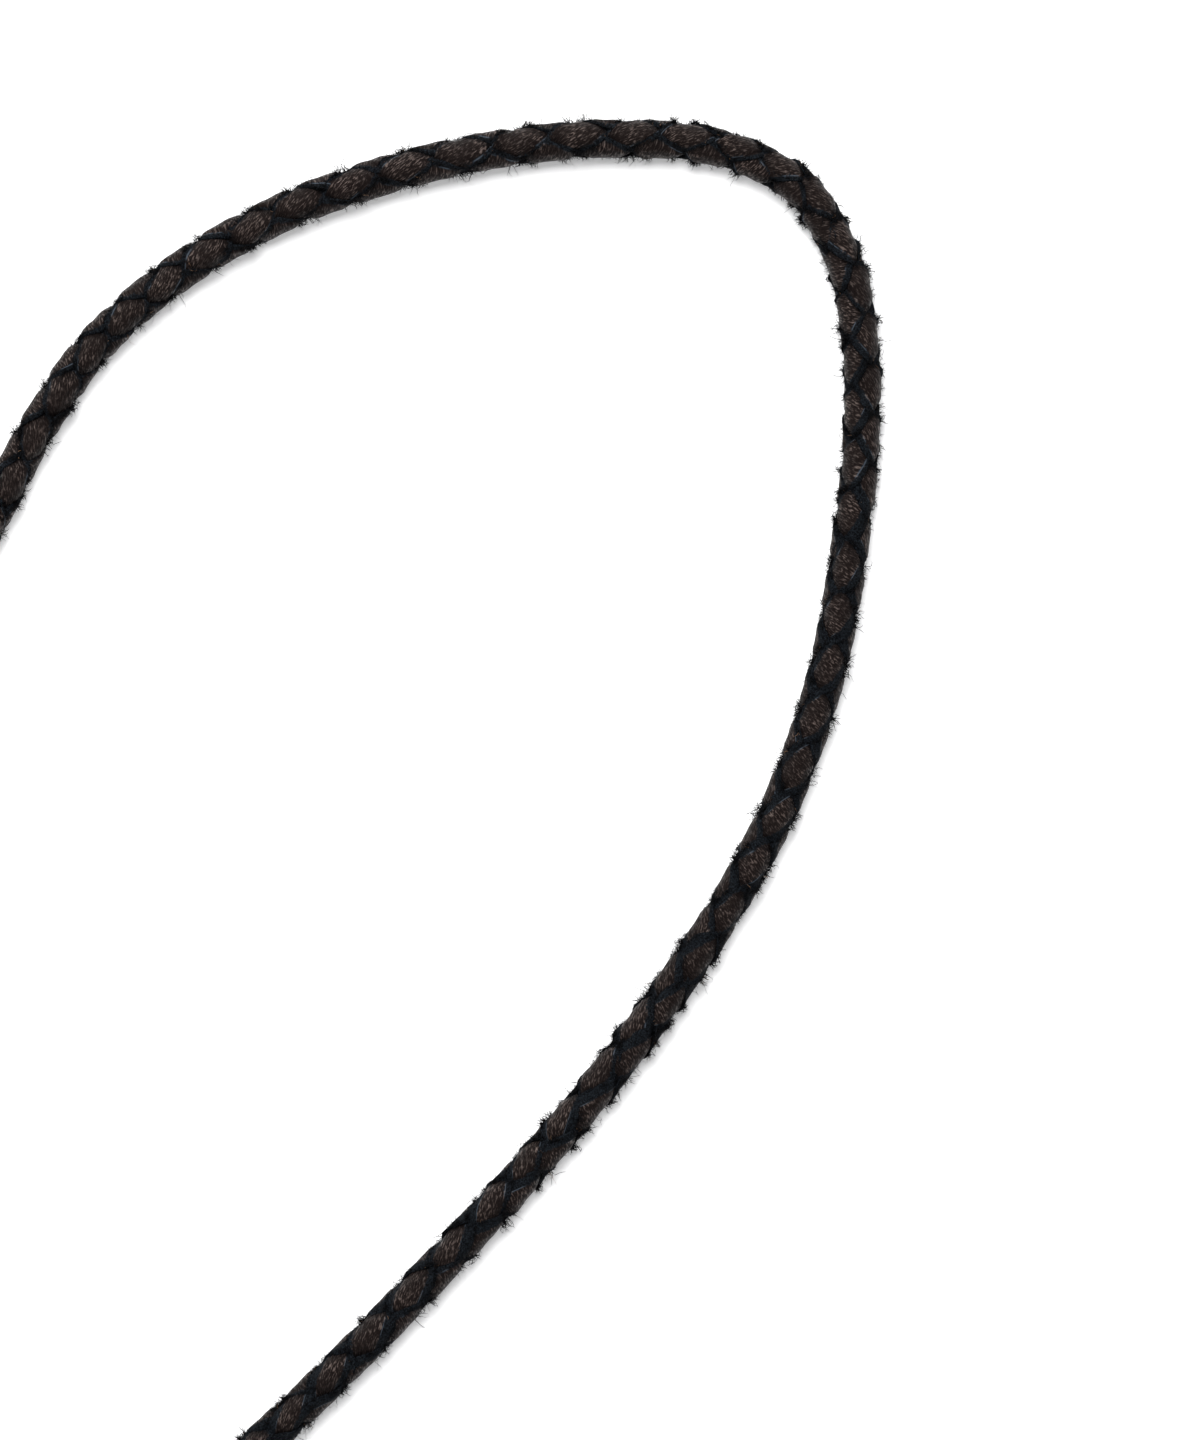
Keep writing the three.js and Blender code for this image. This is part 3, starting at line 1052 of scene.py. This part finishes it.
@dataclass
class Tip:
    """A tip: a turned ferrule that the cord's end sits in, with a long taper."""

    name: str
    mouth: Vector
    cord_end: Vector
    segments: int = 64
    smooth_below_deg: float = 40.0

    # Radius and height in millimetres, from the bottom of the bore round the mouth to the end.
    RINGS: ClassVar[Rows] = (
        (2.57, 13.3), (2.57, 0.35), (2.63, 0.12), (2.75, 0.0), (2.95, 0.0), (3.08, 0.06), (3.17, 0.16),
        (3.2, 0.3), (3.2, 2.05), (3.17, 2.2), (3.08, 2.34), (2.99, 2.46), (2.96, 2.6), (2.95, 6.0),
        (2.95, 12.0), (2.94, 14.5), (2.85, 17.0), (2.66, 20.0), (2.42, 23.0), (2.12, 26.5), (1.8, 30.0),
        (1.48, 33.2), (1.36, 34.4), (1.22, 35.1), (0.95, 35.6), (0.6, 35.9), (0.2, 36.0),
    )

    def build(self, material: Material) -> Piece:
        """Make the tip, with its axis from the mouth towards the cord's end."""
        tip = raise_rings(self.RINGS, self.segments)
        tip.name = self.name
        turn = Vector((0, 0, 1)).rotation_difference((self.cord_end - self.mouth).normalized())
        tip.rotation_mode = "QUATERNION"
        tip.rotation_quaternion = turn
        tip.location = self.mouth
        only(tip)
        apply_place()
        bpy.ops.object.shade_smooth_by_angle(angle=math.radians(self.smooth_below_deg))
        tip.data.materials.append(material)
        return tip


@dataclass(frozen=True)
class SquareLight:
    """A square light, on the side of the view that its direction says: right, top and up."""

    name: str
    direction: tuple[float, float, float]
    size: float
    power: float


@dataclass
class Studio:
    """The white card, the lights and the camera straight above the neck loop."""

    view_width_px: int = 1200
    view_height_px: int = 1440
    cord_width_px: float = 37.0
    middle: Span = (0.020, 0.207)
    turn_deg: float = 36.0
    distance: float = 1.1
    sensor_mm: float = 36.0
    card_size: float = 6.0
    card_middle: tuple[float, float, float] = (0.0, 0.05, 0.0)
    light_distance: float = 1.5
    lights_used: tuple[SquareLight, ...] = (
        SquareLight("key", (-0.1, 0.46, 0.88), 0.95, 32.6),
        SquareLight("window", (-0.3, 0.75, 0.6), 0.16, 4.0),
    )
    room_colour: str = "#fbfcff"
    wall_strength: float = 0.38
    ceiling_strength: float = 0.04
    ceiling_range: Span = (0.72, 0.93)

    def camera(self) -> None:
        """Place the long-lensed camera over the loop, turned as the picture is."""
        data = bpy.data.cameras.new("over_the_loop")
        camera = bpy.data.objects.new("over_the_loop", data)
        bpy.context.scene.collection.objects.link(camera)
        view_height = CORD_DIAMETER / self.cord_width_px * self.view_height_px
        level = CORD_DIAMETER / 2
        data.sensor_fit = "VERTICAL"
        data.sensor_height = self.sensor_mm
        data.lens = self.sensor_mm * self.distance / view_height
        data.clip_start = 0.01
        data.clip_end = 20.0
        camera.location = (*self.middle, self.distance + level)
        camera.rotation_euler = (0, 0, math.radians(self.turn_deg))
        bpy.context.scene.camera = camera

    def floor(self) -> None:
        """Lay the white card."""
        bpy.ops.object.select_all(action="DESELECT")
        bpy.ops.mesh.primitive_plane_add(size=self.card_size, location=self.card_middle)
        card = bpy.context.object
        card.name = "white_card"
        card.data.materials.append(WhiteCard().build())

    def _hang(self, square: SquareLight) -> None:
        """Hang a square light that faces the middle of the view."""
        turn = math.radians(self.turn_deg)
        right = Vector((math.cos(turn), math.sin(turn), 0))
        top = Vector((-math.sin(turn), math.cos(turn), 0))
        rightward, topward, upward = square.direction
        way = (rightward * right + topward * top + Vector((0, 0, upward))).normalized()
        data = bpy.data.lights.new(square.name, "AREA")
        data.size = square.size
        data.energy = square.power
        light = bpy.data.objects.new(square.name, data)
        light.location = Vector((*self.middle, 0.0)) + way * self.light_distance
        light.rotation_mode = "QUATERNION"
        light.rotation_quaternion = way.to_track_quat("Z", "Y")
        bpy.context.scene.collection.objects.link(light)

    def lights(self) -> None:
        """Light the card from a pale room, a soft key and a small, low window, both at the top left."""
        scene = bpy.context.scene
        world = bpy.data.worlds.new("pale_room")
        world.use_nodes = True
        tree = world.node_tree
        way = add_node(tree, "ShaderNodeTexCoord").outputs["Generated"]
        height = add_node(tree, "ShaderNodeSeparateXYZ", {"Vector": way}).outputs["Z"]
        walls = add_range(
            tree, height, *self.ceiling_range, self.wall_strength, self.ceiling_strength, smooth=True
        )
        room = tree.nodes["Background"]
        room.inputs["Color"].default_value = to_linear(self.room_colour)
        tree.links.new(walls, room.inputs["Strength"])
        scene.world = world
        for square in self.lights_used:
            self._hang(square)
        scene.view_settings.view_transform = "Standard"


def ride_and_name(piece: Piece, slot: str, *nodes: str) -> None:
    """Tie a piece to the tie's one body and hide the nodes that it stands for."""
    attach(piece, BODY)
    if nodes:
        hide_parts(*nodes)
    LOG.info("%s: %d faces", piece.name, len(piece.data.polygons))


def main() -> None:
    """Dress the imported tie."""
    logging.basicConfig(level=logging.INFO, format="%(message)s")
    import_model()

    studio = Studio()
    studio.camera()
    studio.floor()
    studio.lights()

    line = CordLine(CORD_ROUTE, LINE_STEP)
    cord = BraidedCord(line)
    laces = cord.build_laces(WaxedLaceLeather().build())
    for piece in laces:
        ride_and_name(piece, "cord_leather", "braided_cord")

    fraying = Fraying(cord)
    fibre = FrayedFibre().build()
    frays = [fraying.build(lace, fibre) for lace in cord.laces]
    for piece in frays:
        ride_and_name(piece, "cord_leather")

    casting = WornNickel(
        name="nickel_plated_casting", colour="#918c83", tarnish="#3a3733", roughness=0.4, scratch_mm=0.25,
        groove_radii=(14.0 * MM, 17.5 * MM),
    )
    slide = Slide().build(casting.build())
    ride_and_name(slide, "slide_metal", "slide")
    turning = WornNickel(
        name="nickel_plated_turning", colour="#99948b", tarnish="#3a3733", roughness=0.3, scratch_mm=0.2
    )
    turned = turning.build()
    ends = (("tip_left_turned", 0, 1, "tip_left"), ("tip_right_turned", -1, -2, "tip_right"))
    for name, end, mouth, node in ends:
        tip = Tip(name, Vector(CORD_ROUTE[mouth]), Vector(CORD_ROUTE[end])).build(turned)
        ride_and_name(tip, "tip_metal", node)


if __name__ == "__main__":
    main()
